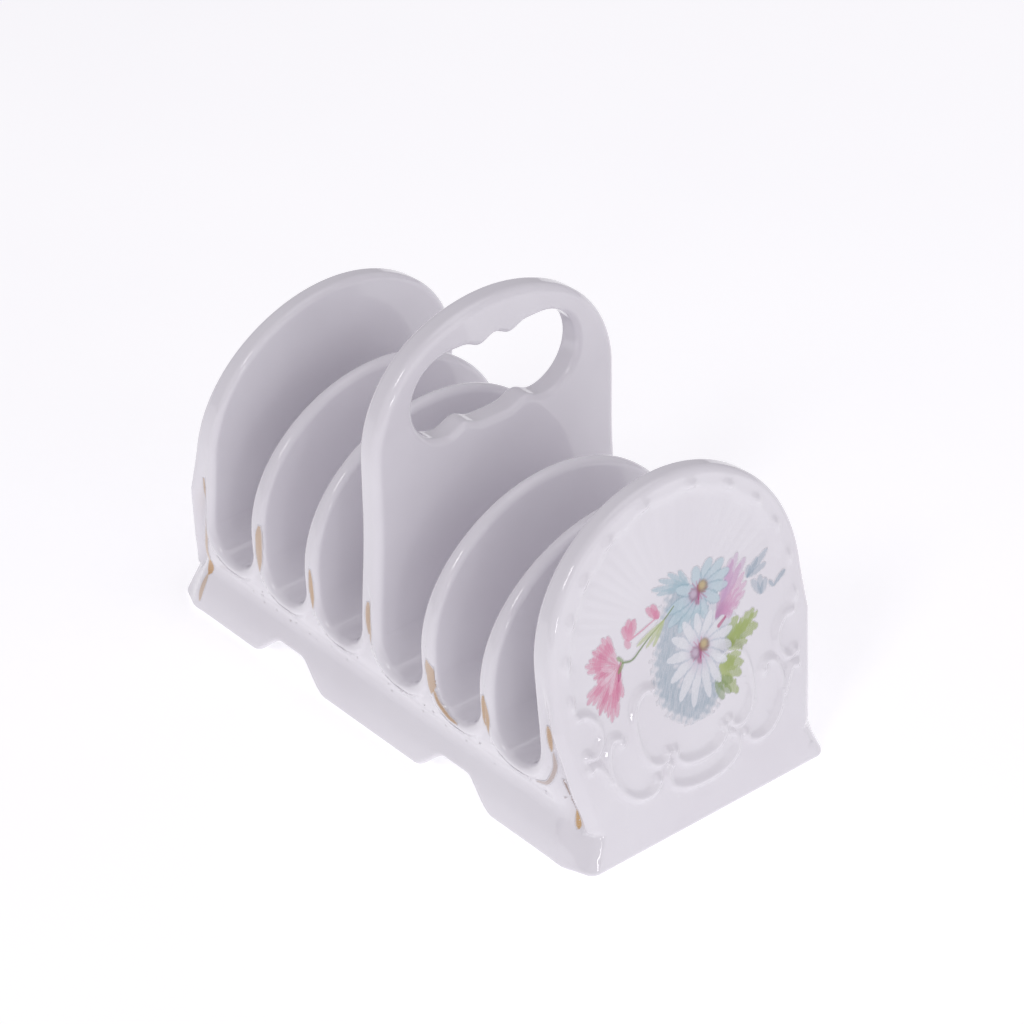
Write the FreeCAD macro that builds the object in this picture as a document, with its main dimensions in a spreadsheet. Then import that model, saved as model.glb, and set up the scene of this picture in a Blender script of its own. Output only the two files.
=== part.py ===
"""Toast rack in glazed porcelain, six slots.

The rack is one fired piece. Its clay parts are kept as separate solids that meet face to face:
a hollow base that carries the slot floors, two leaning end panels, four dividers and a taller
handle panel with a scalloped finger hole.

Frame: millimetres, +X along the rack towards the decorated end, +Z up, origin on the resting
plane under the middle of the base.
"""
import FreeCAD, Part
import math
import os

import Sketcher

os.makedirs("parts", exist_ok=True)
doc = FreeCAD.newDocument("toast_rack")

# ---------------------------------------------------------------- driving dimensions
SIZES = {
    # base
    "base_width": 85.0,
    "foot_reach": 7.7,
    "foot_corner_radius": 8.0,
    "rib_corner_radius": 3.5,
    "foot_band_height": 4.0,
    "crease_height": 14.0,
    "crease_inset": 2.7,
    "wall_thickness": 4.5,
    "floor_thickness": 5.0,
    # arched cut-outs between the feet, two on each long side
    "arch_width": 28.0,
    "arch_height": 8.5,
    "arch_corner_radius": 7.0,
    "arch_offset": 34.0,
    # slots
    "slot_width": 17.2,
    "slot_floor_height": 22.0,
    "slot_lip_depth": 3.0,
    # panels: each inset is measured in from half the base's width, each rise is the height of the
    # arch over the top, and the drop is how much less than that rise its shoulder radius is
    "panel_foot_inset": 0.5,
    "divider_thickness": 5.6,
    "divider_height": 74.0,
    "divider_inset": 0.9,
    "divider_rise": 37.1,
    "divider_drop": 3.1,
    "handle_thickness": 7.6,
    "handle_height": 114.5,
    "handle_inset": 3.0,
    "handle_rise": 34.5,
    "handle_drop": 1.5,
    "end_thickness": 6.0,
    "end_foot_thickness": 10.7,
    "end_face_radius": 420.0,
    "end_lean_angle": 5.9,
    "end_height": 91.0,
    "end_foot_inset": 1.1,
    "end_inset": 2.1,
    "end_rise": 38.5,
    "end_drop": 1.5,
    # finger hole: three round lobes side by side
    "grip_height": 10.6,
    "grip_side": 12.5,
    "lobe_radius": 12.6,
    # rounding of the panel edges, as a share of the panel's thickness
    "edge_round_share": 0.42,
}

sheet = doc.addObject("Spreadsheet::Sheet", "Sizes")
for row, (alias, value) in enumerate(SIZES.items(), start=1):
    sheet.set(f"A{row}", alias)
    sheet.set(f"B{row}", str(value))
    sheet.setAlias(f"B{row}", alias)
doc.recompute()

# Lengths that follow from the driving dimensions, as expressions and as numbers.
RIB_HEIGHT = "(Sizes.slot_floor_height + Sizes.slot_width / 2)"
SLOT_PITCH = "(Sizes.slot_width + Sizes.divider_thickness)"
FIRST_SLOT = "(Sizes.handle_thickness / 2 + Sizes.slot_width / 2)"
END_INNER_FACE = f"({FIRST_SLOT} + 2 * {SLOT_PITCH} + Sizes.slot_width / 2)"
RIB_HALF_LENGTH = f"({END_INNER_FACE} + Sizes.end_foot_thickness)"
BASE_HALF_LENGTH = f"({RIB_HALF_LENGTH} + Sizes.foot_reach)"
BASE_HALF_WIDTH = "(Sizes.base_width / 2)"
LIP_HEIGHT = "(Sizes.slot_floor_height - Sizes.slot_lip_depth)"
CEILING_HEIGHT = "(Sizes.slot_floor_height - Sizes.floor_thickness)"

rib_height = SIZES["slot_floor_height"] + SIZES["slot_width"] / 2
slot_pitch = SIZES["slot_width"] + SIZES["divider_thickness"]
first_slot = SIZES["handle_thickness"] / 2 + SIZES["slot_width"] / 2
end_inner_face = first_slot + 2 * slot_pitch + SIZES["slot_width"] / 2
rib_half_length = end_inner_face + SIZES["end_foot_thickness"]
base_half_length = rib_half_length + SIZES["foot_reach"]
base_half_width = SIZES["base_width"] / 2
lip_height = SIZES["slot_floor_height"] - SIZES["slot_lip_depth"]
ceiling_height = SIZES["slot_floor_height"] - SIZES["floor_thickness"]

SIDES = (1, -1)


# ---------------------------------------------------------------- sketch helpers
def point(x, y):
    return FreeCAD.Vector(x, y, 0)


def new_body(label):
    body = doc.addObject("PartDesign::Body", label)
    body.Label = label
    return body


def new_sketch(body, name, plane):
    """Sketch attached to one of the body's own origin planes: XY, XZ or YZ."""
    sketch = body.newObject("Sketcher::SketchObject", name)
    support = [f for f in body.Origin.OriginFeatures if f.Role == plane + "_Plane"][0]
    sketch.AttachmentSupport = [(support, "")]
    sketch.MapMode = "FlatFace"
    return sketch


def constrain(sketch, kind, *items):
    return sketch.addConstraint(Sketcher.Constraint(kind, *items))


def bind(sketch, name, expression, kind, *items):
    """Add a dimension and tie its value to an expression of the sizes."""
    index = constrain(sketch, kind, *items)
    sketch.renameConstraint(index, name)
    sketch.setExpression("Constraints." + name, expression)


def add_line(sketch, start, end):
    return sketch.addGeometry(Part.LineSegment(point(*start), point(*end)), False)


def add_arc(sketch, centre, radius, start_angle, end_angle):
    circle = Part.Circle(point(*centre), FreeCAD.Vector(0, 0, 1), radius)
    arc = Part.ArcOfCircle(circle, math.radians(start_angle), math.radians(end_angle))
    return sketch.addGeometry(arc, False)


def rounded_rectangle(sketch, half_length, half_width, radius, expressions):
    """Rectangle centred on the origin; expressions hold its half length, half width and radius."""
    x, y, r = half_length, half_width, radius
    right = add_line(sketch, (x, r - y), (x, y - r))
    top = add_line(sketch, (x - r, y), (r - x, y))
    left = add_line(sketch, (-x, y - r), (-x, r - y))
    bottom = add_line(sketch, (r - x, -y), (x - r, -y))
    corners = []
    for number, (sx, sy) in enumerate(((1, 1), (-1, 1), (-1, -1), (1, -1))):
        centre = (sx * (x - r), sy * (y - r))
        corners.append(add_arc(sketch, centre, r, 90 * number, 90 * number + 90))
    lines = (right, top, left, bottom)
    for number, corner in enumerate(corners):
        constrain(sketch, "Tangent", lines[number], 2, corner, 1)
        constrain(sketch, "Tangent", corner, 2, lines[(number + 1) % 4], 1)
        if number:
            constrain(sketch, "Equal", corners[0], corner)
    constrain(sketch, "Vertical", right)
    constrain(sketch, "Horizontal", top)
    constrain(sketch, "Symmetric", corners[0], 3, corners[2], 3, -1, 1)
    bind(sketch, "half_length", expressions[0], "DistanceX", -1, 1, right, 1, x)
    bind(sketch, "half_width", expressions[1], "DistanceY", -1, 1, top, 1, y)
    bind(sketch, "radius", expressions[2], "Radius", corners[0], r)


def panel_outline(sketch, kind, foot_height, foot_height_expression, foot_inset):
    """Panel seen along the rack: two sides, two shoulder arcs and a wider arc over the top.

    kind names the sizes used, such as "divider", and foot_inset the size that sets the foot's
    half width. The arch's rise stays below the panel's half width and its height above the ribs."""
    foot = base_half_width - SIZES[foot_inset]
    side = base_half_width - SIZES[kind + "_inset"]
    drop = SIZES[kind + "_drop"]
    height = SIZES[kind + "_height"]
    rise = min(SIZES[kind + "_rise"], side - drop, height - rib_height - drop)
    spring = height - rise
    shoulder = rise - drop
    crown = (side**2 + rise**2 - 2 * side * shoulder) / (2 * (rise - shoulder))
    shoulder_y = side - shoulder
    crown_z = height - crown
    joint = math.degrees(math.atan2(spring - crown_z, shoulder_y))
    sill = add_line(sketch, (-foot, foot_height), (foot, foot_height))
    right = add_line(sketch, (foot, foot_height), (side, spring))
    right_shoulder = add_arc(sketch, (shoulder_y, spring), shoulder, 0, joint)
    arch = add_arc(sketch, (0, crown_z), crown, joint, 180 - joint)
    left_shoulder = add_arc(sketch, (-shoulder_y, spring), shoulder, 180 - joint, 180)
    left = add_line(sketch, (-side, spring), (-foot, foot_height))
    top = sketch.addGeometry(Part.Point(point(0, height)), True)
    constrain(sketch, "Coincident", sill, 2, right, 1)
    constrain(sketch, "Coincident", right, 2, right_shoulder, 1)
    constrain(sketch, "Tangent", right_shoulder, 2, arch, 1)
    constrain(sketch, "Tangent", arch, 2, left_shoulder, 1)
    constrain(sketch, "Coincident", left_shoulder, 2, left, 1)
    constrain(sketch, "Horizontal", right_shoulder, 3, right, 2)
    constrain(sketch, "Horizontal", left_shoulder, 3, left, 1)
    constrain(sketch, "Coincident", left, 2, sill, 1)
    constrain(sketch, "Symmetric", sill, 1, sill, 2, -2)
    constrain(sketch, "Symmetric", right, 2, left, 1, -2)
    constrain(sketch, "PointOnObject", arch, 3, -2)
    constrain(sketch, "PointOnObject", top, 1, -2)
    constrain(sketch, "PointOnObject", top, 1, arch)
    foot_expression = f"{BASE_HALF_WIDTH} - Sizes.{foot_inset}"
    side_expression = f"{BASE_HALF_WIDTH} - Sizes.{kind}_inset"
    height_expression = f"Sizes.{kind}_height"
    drop_expression = f"Sizes.{kind}_drop"
    rise_expression = (
        f"min(Sizes.{kind}_rise; {side_expression} - {drop_expression};"
        f" {height_expression} - {RIB_HEIGHT} - {drop_expression})"
    )
    spring_expression = f"{height_expression} - {rise_expression}"
    shoulder_expression = f"{rise_expression} - {drop_expression}"
    bind(sketch, "foot_half_width", foot_expression, "DistanceX", -1, 1, sill, 2, foot)
    bind(sketch, "foot_height", foot_height_expression, "DistanceY", -1, 1, sill, 2, foot_height)
    bind(sketch, "half_width", side_expression, "DistanceX", -1, 1, right, 2, side)
    bind(sketch, "spring", spring_expression, "DistanceY", -1, 1, right, 2, spring)
    bind(sketch, "shoulder", shoulder_expression, "Radius", right_shoulder, shoulder)
    bind(sketch, "height", height_expression, "DistanceY", -1, 1, top, 1, height)


# ---------------------------------------------------------------- feature helpers
def cut_through(body, name, sketch):
    """Pocket right through the body, both ways from the sketch plane."""
    pocket = body.newObject("PartDesign::Pocket", name)
    pocket.Profile = sketch
    pocket.Type = "ThroughAll"
    pocket.Midplane = True
    return pocket


def shape_volume(feature):
    doc.recompute()
    return feature.Shape.Volume


def fillet_edges(body, name, base, radius_expression, wanted):
    """Round those edges of a feature for which wanted(edge) is true."""
    doc.recompute()
    edges = [f"Edge{n}" for n, edge in enumerate(base.Shape.Edges, start=1) if wanted(edge)]
    fillet = body.newObject("PartDesign::Fillet", name)
    fillet.Base = (base, edges)
    fillet.setExpression("Radius", radius_expression)
    doc.recompute()
    return fillet


# ---------------------------------------------------------------- base
def build_base():
    """Hollow tray: flared skirt, six round-bottomed slots, hollow underside and arches."""
    body = new_body("base")

    def half_length_at(height):
        return base_half_length - SIZES["foot_reach"] * height / rib_height

    def half_length_expression(height):
        return f"{BASE_HALF_LENGTH} - Sizes.foot_reach * {height} / {RIB_HEIGHT}"

    def section(name, height, height_expression, width, corner, inset=False):
        """One horizontal rounded rectangle of the skirt, or of the hollow when inset is set."""
        half_width, width_expression = width
        gap = SIZES["wall_thickness"] if inset else 0.0
        gap_expression = " - Sizes.wall_thickness" if inset else ""
        sketch = new_sketch(body, name, "XY")
        sketch.AttachmentOffset = FreeCAD.Placement(point(0, 0), FreeCAD.Rotation())
        sketch.setExpression(".AttachmentOffset.Base.z", height_expression)
        rounded_rectangle(
            sketch,
            half_length_at(height) - gap,
            half_width - gap,
            SIZES[corner] - gap,
            (
                half_length_expression(height_expression) + gap_expression,
                width_expression + gap_expression,
                "Sizes." + corner + gap_expression,
            ),
        )
        return sketch

    crease_half_width = base_half_width - SIZES["crease_inset"]
    rib_half_width = base_half_width - SIZES["panel_foot_inset"]
    foot_width = (base_half_width, BASE_HALF_WIDTH)
    crease_width = (crease_half_width, f"{BASE_HALF_WIDTH} - Sizes.crease_inset")
    rib_width = (rib_half_width, f"{BASE_HALF_WIDTH} - Sizes.panel_foot_inset")
    foot_corner = "foot_corner_radius"
    rib_corner = "rib_corner_radius"
    ground = "0 * Sizes.base_width"
    skirt_sections = [
        section("skirt_foot", 0.0, ground, foot_width, foot_corner),
        section("skirt_band", SIZES["foot_band_height"], "Sizes.foot_band_height", foot_width, foot_corner),
        section("skirt_crease", SIZES["crease_height"], "Sizes.crease_height", crease_width, foot_corner),
        section("skirt_lip", lip_height, LIP_HEIGHT, rib_width, rib_corner),
        section("skirt_top", rib_height, RIB_HEIGHT, rib_width, rib_corner),
    ]
    skirt = body.newObject("PartDesign::AdditiveLoft", "skirt")
    skirt.Profile = skirt_sections[0]
    skirt.Sections = skirt_sections[1:]
    skirt.Ruled = True
    solid_volume = shape_volume(skirt)

    slots = new_sketch(body, "slot_profiles", "XZ")
    radius = SIZES["slot_width"] / 2
    for side in SIDES:
        for number in range(3):
            place = side * (first_slot + number * slot_pitch)
            name = f"slot_{'front' if side > 0 else 'back'}_{number + 1}"
            bottom = add_arc(slots, (place, rib_height), radius, 180, 360)
            right = add_line(slots, (place + radius, rib_height), (place + radius, rib_height + 5))
            lid = add_line(slots, (place + radius, rib_height + 5), (place - radius, rib_height + 5))
            left = add_line(slots, (place - radius, rib_height + 5), (place - radius, rib_height))
            constrain(slots, "Tangent", bottom, 2, right, 1)
            constrain(slots, "Coincident", right, 2, lid, 1)
            constrain(slots, "Coincident", lid, 2, left, 1)
            constrain(slots, "Tangent", left, 2, bottom, 1)
            constrain(slots, "Vertical", right)
            constrain(slots, "Vertical", left)
            constrain(slots, "Horizontal", lid)
            centre_expression = f"{FIRST_SLOT} + {number} * {SLOT_PITCH}"
            ends = (-1, 1, bottom, 3) if side > 0 else (bottom, 3, -1, 1)
            bind(slots, name + "_x", centre_expression, "DistanceX", *ends, abs(place))
            bind(slots, name + "_z", RIB_HEIGHT, "DistanceY", -1, 1, bottom, 3, rib_height)
            bind(slots, name + "_r", "Sizes.slot_width / 2", "Radius", bottom, radius)
            bind(slots, name + "_top", "Sizes.slot_width", "DistanceY", right, 1, right, 2, 5)
    slot_cut = cut_through(body, "slots", slots)
    slotted_volume = shape_volume(slot_cut)

    hollow_bottom = section("hollow_bottom", 0.0, ground, foot_width, foot_corner, inset=True)
    hollow_top = section("hollow_top", ceiling_height, CEILING_HEIGHT, crease_width, foot_corner, inset=True)
    hollow = body.newObject("PartDesign::SubtractiveLoft", "hollow")
    hollow.Profile = hollow_bottom
    hollow.Sections = [hollow_top]
    hollow.Ruled = True
    hollow_volume = shape_volume(hollow)

    arches = new_sketch(body, "arch_profiles", "XZ")
    r = SIZES["arch_corner_radius"]
    half = SIZES["arch_width"] / 2
    top = SIZES["arch_height"]
    for side in SIDES:
        x = side * SIZES["arch_offset"]
        name = f"arch_{'front' if side > 0 else 'back'}"
        sill = add_line(arches, (x - half, -1), (x + half, -1))
        right = add_line(arches, (x + half, -1), (x + half, top - r))
        right_corner = add_arc(arches, (x + half - r, top - r), r, 0, 90)
        crown = add_line(arches, (x + half - r, top), (x - half + r, top))
        left_corner = add_arc(arches, (x - half + r, top - r), r, 90, 180)
        left = add_line(arches, (x - half, top - r), (x - half, -1))
        constrain(arches, "Coincident", sill, 2, right, 1)
        constrain(arches, "Tangent", right, 2, right_corner, 1)
        constrain(arches, "Tangent", right_corner, 2, crown, 1)
        constrain(arches, "Tangent", crown, 2, left_corner, 1)
        constrain(arches, "Tangent", left_corner, 2, left, 1)
        constrain(arches, "Coincident", left, 2, sill, 1)
        constrain(arches, "Vertical", right)
        constrain(arches, "Horizontal", sill)
        constrain(arches, "Horizontal", crown)
        constrain(arches, "Equal", right_corner, left_corner)
        constrain(arches, "Equal", right, left)
        ends = (-1, 1, sill, 1) if side > 0 else (sill, 2, -1, 1)
        near = "Sizes.arch_offset - Sizes.arch_width / 2"
        bind(arches, name + "_near", near, "DistanceX", *ends, abs(x) - half)
        bind(arches, name + "_width", "Sizes.arch_width", "DistanceX", sill, 1, sill, 2, 2 * half)
        bind(arches, name + "_top", "Sizes.arch_height", "DistanceY", -1, 1, crown, 1, top)
        bind(arches, name + "_radius", "Sizes.arch_corner_radius", "Radius", right_corner, r)
        bind(arches, name + "_sill", "Sizes.arch_height + 1", "DistanceY", sill, 1, crown, 2, top + 1)
    arch_cut = cut_through(body, "arches", arches)
    arched_volume = shape_volume(arch_cut)

    if not solid_volume > slotted_volume > hollow_volume > arched_volume > 0:
        raise ValueError("a cut in the base removed nothing")

    def slot_lip(edge):
        """True for the rounded rims where a slot's floor meets the long sides."""
        box = edge.BoundBox
        above_crease = box.ZMin > SIZES["slot_floor_height"] - 0.5
        across = abs(edge.CenterOfMass.y) > crease_half_width - 1
        along_slot = box.ZMax - box.ZMin > 1 and box.YMax - box.YMin < 2
        inside = abs(edge.CenterOfMass.x) < end_inner_face + 0.5
        return above_crease and across and along_slot and inside

    fillet_edges(body, "slot_lips", arch_cut, "Sizes.divider_thickness * Sizes.edge_round_share", slot_lip)
    return body


# ---------------------------------------------------------------- panels
def rim_edge(foot_height):
    """Test for the edges that run round a panel's outline on its two faces."""

    def wanted(edge):
        box = edge.BoundBox
        across_thickness = box.XMax - box.XMin > 1 and box.YMax - box.YMin < 0.5 and box.ZMax - box.ZMin < 0.5
        on_foot = box.ZMax < foot_height + 0.1
        return not on_foot and not across_thickness

    return wanted


def build_flat_panel(label, kind, place, place_expression):
    """Upright panel of even thickness, rounded all the way round its rim."""
    body = new_body(label)
    outline = new_sketch(body, label + "_outline", "YZ")
    panel_outline(outline, kind, rib_height, RIB_HEIGHT, "panel_foot_inset")
    slab = body.newObject("PartDesign::Pad", label + "_slab")
    slab.Profile = outline
    slab.Midplane = True
    slab.setExpression("Length", f"Sizes.{kind}_thickness")
    radius = f"Sizes.{kind}_thickness * Sizes.edge_round_share"
    rounded = fillet_edges(body, label + "_rim", slab, radius, rim_edge(rib_height))
    body.Placement = FreeCAD.Placement(FreeCAD.Vector(place, 0, 0), FreeCAD.Rotation())
    body.setExpression(".Placement.Base.x", place_expression)
    return body, rounded


def build_handle_panel():
    """Tall panel with the finger hole: three round lobes that run into each other."""
    body, panel = build_flat_panel("handle_panel", "handle", 0.0, "0 * Sizes.slot_width")
    radius = SIZES["lobe_radius"]
    spacing = base_half_width - SIZES["handle_inset"] - SIZES["grip_side"] - radius
    spacing_expression = f"{BASE_HALF_WIDTH} - Sizes.handle_inset - Sizes.grip_side - Sizes.lobe_radius"
    centre_z = SIZES["handle_height"] - SIZES["grip_height"] - radius
    height_expression = "Sizes.handle_height - Sizes.grip_height - Sizes.lobe_radius"
    for number in (-1, 0, 1):
        uncut = shape_volume(panel)
        lobe = new_sketch(body, f"finger_lobe_{number + 2}", "YZ")
        circle = Part.Circle(point(number * spacing, centre_z), FreeCAD.Vector(0, 0, 1), radius)
        rim = lobe.addGeometry(circle, False)
        if number == 0:
            constrain(lobe, "PointOnObject", rim, 3, -2)
        else:
            ends = (-1, 1, rim, 3) if number > 0 else (rim, 3, -1, 1)
            bind(lobe, "spacing", spacing_expression, "DistanceX", *ends, spacing)
        bind(lobe, "height", height_expression, "DistanceY", -1, 1, rim, 3, centre_z)
        bind(lobe, "radius", "Sizes.lobe_radius", "Radius", rim, radius)
        panel = cut_through(body, f"finger_hole_{number + 2}", lobe)
        if shape_volume(panel) >= uncut:
            raise ValueError("a finger hole lobe removed nothing")
    return body


def build_end_panel(label, side):
    """Leaning end panel: flat inner face, hollow-curved outer face that thickens to the foot.

    It is drawn for the front end; the back end is the same panel turned half a turn."""
    body = new_body(label)
    lean = math.tan(math.radians(SIZES["end_lean_angle"]))
    rise = SIZES["end_height"] - rib_height
    inner_foot = (end_inner_face, rib_height)
    inner_top = (end_inner_face - lean * rise, SIZES["end_height"])
    outer_top = (inner_top[0] + SIZES["end_thickness"], SIZES["end_height"])
    outer_foot = (rib_half_length, rib_height)
    profile = new_sketch(body, label + "_profile", "XZ")
    foot = add_line(profile, inner_foot, outer_foot)
    chord = FreeCAD.Vector(outer_top[0] - outer_foot[0], outer_top[1] - outer_foot[1], 0)
    middle = point((outer_top[0] + outer_foot[0]) / 2, (outer_top[1] + outer_foot[1]) / 2)
    across = FreeCAD.Vector(chord.y, -chord.x, 0).normalize()
    radius = SIZES["end_face_radius"]
    centre = middle + across * math.sqrt(radius**2 - (chord.Length / 2) ** 2)
    top_angle = math.degrees(math.atan2(outer_top[1] - centre.y, outer_top[0] - centre.x))
    foot_angle = math.degrees(math.atan2(outer_foot[1] - centre.y, outer_foot[0] - centre.x))
    face = add_arc(profile, (centre.x, centre.y), radius, top_angle % 360, foot_angle % 360)
    crown = add_line(profile, outer_top, inner_top)
    inner = add_line(profile, inner_top, inner_foot)
    constrain(profile, "Coincident", foot, 2, face, 2)
    constrain(profile, "Coincident", face, 1, crown, 1)
    constrain(profile, "Coincident", crown, 2, inner, 1)
    constrain(profile, "Coincident", inner, 2, foot, 1)
    constrain(profile, "Horizontal", foot)
    constrain(profile, "Horizontal", crown)
    bind(profile, "inner_face", END_INNER_FACE, "DistanceX", -1, 1, foot, 1, end_inner_face)
    bind(profile, "foot_height", RIB_HEIGHT, "DistanceY", -1, 1, foot, 1, rib_height)
    bind(profile, "foot_thickness", "Sizes.end_foot_thickness", "DistanceX", foot, 1, foot, 2, 10)
    bind(profile, "height", "Sizes.end_height", "DistanceY", -1, 1, crown, 1, SIZES["end_height"])
    bind(profile, "top_thickness", "Sizes.end_thickness", "DistanceX", crown, 2, crown, 1, 6)
    bind(profile, "face_radius", "Sizes.end_face_radius", "Radius", face, radius)
    lean_expression = f"(Sizes.end_height - {RIB_HEIGHT}) * tan(Sizes.end_lean_angle * 1 deg)"
    bind(profile, "lean", lean_expression, "DistanceX", inner, 1, inner, 2, lean * rise)

    slab = body.newObject("PartDesign::Pad", label + "_slab")
    slab.Profile = profile
    slab.Midplane = True
    slab.setExpression("Length", "Sizes.base_width + 20")
    slab_volume = shape_volume(slab)

    surround = new_sketch(body, label + "_surround", "YZ")
    below = "Sizes.slot_floor_height"
    panel_outline(surround, "end", SIZES["slot_floor_height"], below, "end_foot_inset")
    reach = SIZES["base_width"]
    top = SIZES["end_height"] + 10
    frame = [
        add_line(surround, (-reach, 0), (reach, 0)),
        add_line(surround, (reach, 0), (reach, top)),
        add_line(surround, (reach, top), (-reach, top)),
        add_line(surround, (-reach, top), (-reach, 0)),
    ]
    for number, line in enumerate(frame):
        constrain(surround, "Coincident", line, 2, frame[(number + 1) % 4], 1)
    constrain(surround, "Horizontal", frame[2])
    constrain(surround, "Vertical", frame[1])
    constrain(surround, "Symmetric", frame[0], 1, frame[0], 2, -1, 1)
    bind(surround, "reach", "Sizes.base_width", "DistanceX", -1, 1, frame[0], 2, reach)
    bind(surround, "frame_top", "Sizes.end_height + 10", "DistanceY", -1, 1, frame[1], 2, top)
    constrain(surround, "Vertical", frame[3])
    trimmed = cut_through(body, label + "_trim", surround)
    if shape_volume(trimmed) >= slab_volume:
        raise ValueError("the end panel's outline removed nothing")
    radius = "Sizes.end_thickness * Sizes.edge_round_share"
    fillet_edges(body, label + "_rim", trimmed, radius, rim_edge(rib_height))
    turn = 0 if side > 0 else 180
    body.Placement = FreeCAD.Placement(
        FreeCAD.Vector(0, 0, 0), FreeCAD.Rotation(FreeCAD.Vector(0, 0, 1), turn)
    )
    return body


# ---------------------------------------------------------------- the whole rack
def build_dividers():
    """Two dividers on each side of the handle panel, counted from the back end."""
    places = {"divider_1": -2, "divider_2": -1, "divider_3": 1, "divider_4": 2}
    handle_half = SIZES["handle_thickness"] / 2
    bodies = []
    for label, step in places.items():
        side = 1 if step > 0 else -1
        offset = handle_half - SIZES["divider_thickness"] / 2 + abs(step) * slot_pitch
        expression = (
            f"{side} * (Sizes.handle_thickness / 2 - Sizes.divider_thickness / 2"
            f" + {abs(step)} * {SLOT_PITCH})"
        )
        bodies.append(build_flat_panel(label, "divider", side * offset, expression)[0])
    return bodies


bodies = [build_base(), build_end_panel("back_end_panel", -1)]
bodies += build_dividers()
bodies += [build_handle_panel(), build_end_panel("front_end_panel", 1)]
doc.recompute()

for item in doc.Objects:
    if "Invalid" in item.State or "Error" in item.State:
        raise ValueError(f"{item.Label} is in state {item.State}")

for body in bodies:
    if body.Shape.isNull() or not body.Shape.isValid() or len(body.Shape.Solids) != 1:
        raise ValueError(f"{body.Label} is not one valid solid")
    body.Shape.exportStep(f"parts/{body.Label}.step")
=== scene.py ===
"""Porcelain toast rack with moulded scrolls, a printed spray of flowers and worn gilding.

The body is one continuous glazed surface, described by a signed distance field in millimetres
and meshed plate by plate, so that each visible piece stands for one node of the CAD frame.
"""
import math
from collections import namedtuple

import bmesh
import bpy
import numpy as np
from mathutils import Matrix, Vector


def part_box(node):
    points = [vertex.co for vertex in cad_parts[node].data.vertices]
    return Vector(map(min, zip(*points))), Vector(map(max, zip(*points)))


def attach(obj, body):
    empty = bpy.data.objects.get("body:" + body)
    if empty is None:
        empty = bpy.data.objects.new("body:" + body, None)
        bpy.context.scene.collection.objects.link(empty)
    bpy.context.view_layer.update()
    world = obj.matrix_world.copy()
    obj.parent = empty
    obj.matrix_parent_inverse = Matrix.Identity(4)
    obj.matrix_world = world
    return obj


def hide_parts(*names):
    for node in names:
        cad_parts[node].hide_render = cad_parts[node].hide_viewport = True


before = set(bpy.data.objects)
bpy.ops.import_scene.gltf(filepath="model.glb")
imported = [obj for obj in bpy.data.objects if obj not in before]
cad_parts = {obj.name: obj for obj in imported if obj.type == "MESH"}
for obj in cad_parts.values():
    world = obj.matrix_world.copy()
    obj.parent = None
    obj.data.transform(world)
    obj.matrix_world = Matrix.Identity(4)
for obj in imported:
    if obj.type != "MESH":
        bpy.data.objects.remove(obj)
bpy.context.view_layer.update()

import openvdb
from mathutils import Matrix, Vector

MM = 0.001

# ---------------------------------------------------------------- sizes read from the frame


def box_mm(node):
    """Lowest and highest corner of a CAD node, in millimetres."""
    low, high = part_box(node)
    return np.array(low) / MM, np.array(high) / MM


Panel = namedtuple("Panel", "centre half side height rise drop")


def make_panel(node, inset, rise, drop):
    """The arch shape of the panel that a node stands for; inset is from the base's widest line."""
    low, high = box_mm(node)
    centre = abs(low[0] + high[0]) / 2
    return Panel(centre, (high[0] - low[0]) / 2, HALF_WIDTH - inset, high[2], rise, drop)


BASE_HIGH = box_mm("base")[1]
HALF_WIDTH = BASE_HIGH[1]
RIB_TOP = BASE_HIGH[2]
HANDLE = make_panel("handle_panel", 3.0, 34.5, 1.5)
INNER_DIVIDER = make_panel("divider_3", 0.9, 37.1, 3.1)
OUTER_DIVIDER = make_panel("divider_4", 0.9, 37.1, 3.1)
END = make_panel("front_end_panel", 1.3, 38.5, 1.5)

SLOT_HALF = (INNER_DIVIDER.centre - INNER_DIVIDER.half - HANDLE.half) / 2
SLOT_CENTRES = (
    HANDLE.half + SLOT_HALF,
    INNER_DIVIDER.centre + INNER_DIVIDER.half + SLOT_HALF,
    OUTER_DIVIDER.centre + OUTER_DIVIDER.half + SLOT_HALF,
)
END_FOOT_X = box_mm("front_end_panel")[1][0]
FOOT_X = BASE_HIGH[0]
END_LEAN = math.radians(5.9)
FACE_SLOPE = 0.252
FACE_CURVE = 0.00121
FACE_COSINE = 0.97

# foot of the base
WALL = 4.5
CEILING = 17.0
SIDE_DRAW_IN = 1.2
SIDE_DRAW_HEIGHT = 30.0
CREASE_HEIGHT = 13.5
CREASE_DEPTH = 2.2
CREASE_SPREAD = 5.5
ARCH_CENTRE = 34.0
ARCH_HEIGHT = 7.4
ARCH_INNER = 4.0
ARCH_OUTER = 15.5

# end corners: the end face tapers down to a knob, below which its foot flares
KNOB_HEIGHT = 9.6
KNOB_SIDE = 34.8
FACE_TAPER = 0.22
FOOT_FLARE = 0.5
CORNER_REACH = 9.0
RIDGE_INWARD = 1.8
RIDGE_WIDTH = 1.7
RIDGE_PROUD = 1.1
GROOVE_INWARD = 4.8
GROOVE_WIDTH = 1.3
GROOVE_DEPTH = 0.7

# how far each face of a divider draws in by its top
DIVIDER_TAPER = 0.75

# edge rounding
RIM_ROUND = 2.0
HANDLE_ROUND = 2.5
FACE_ROUND = 2.0
CORNER_ROUND = 2.6
FOOT_ROUND = 1.4
HOLLOW_ROUND = 4.0

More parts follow.
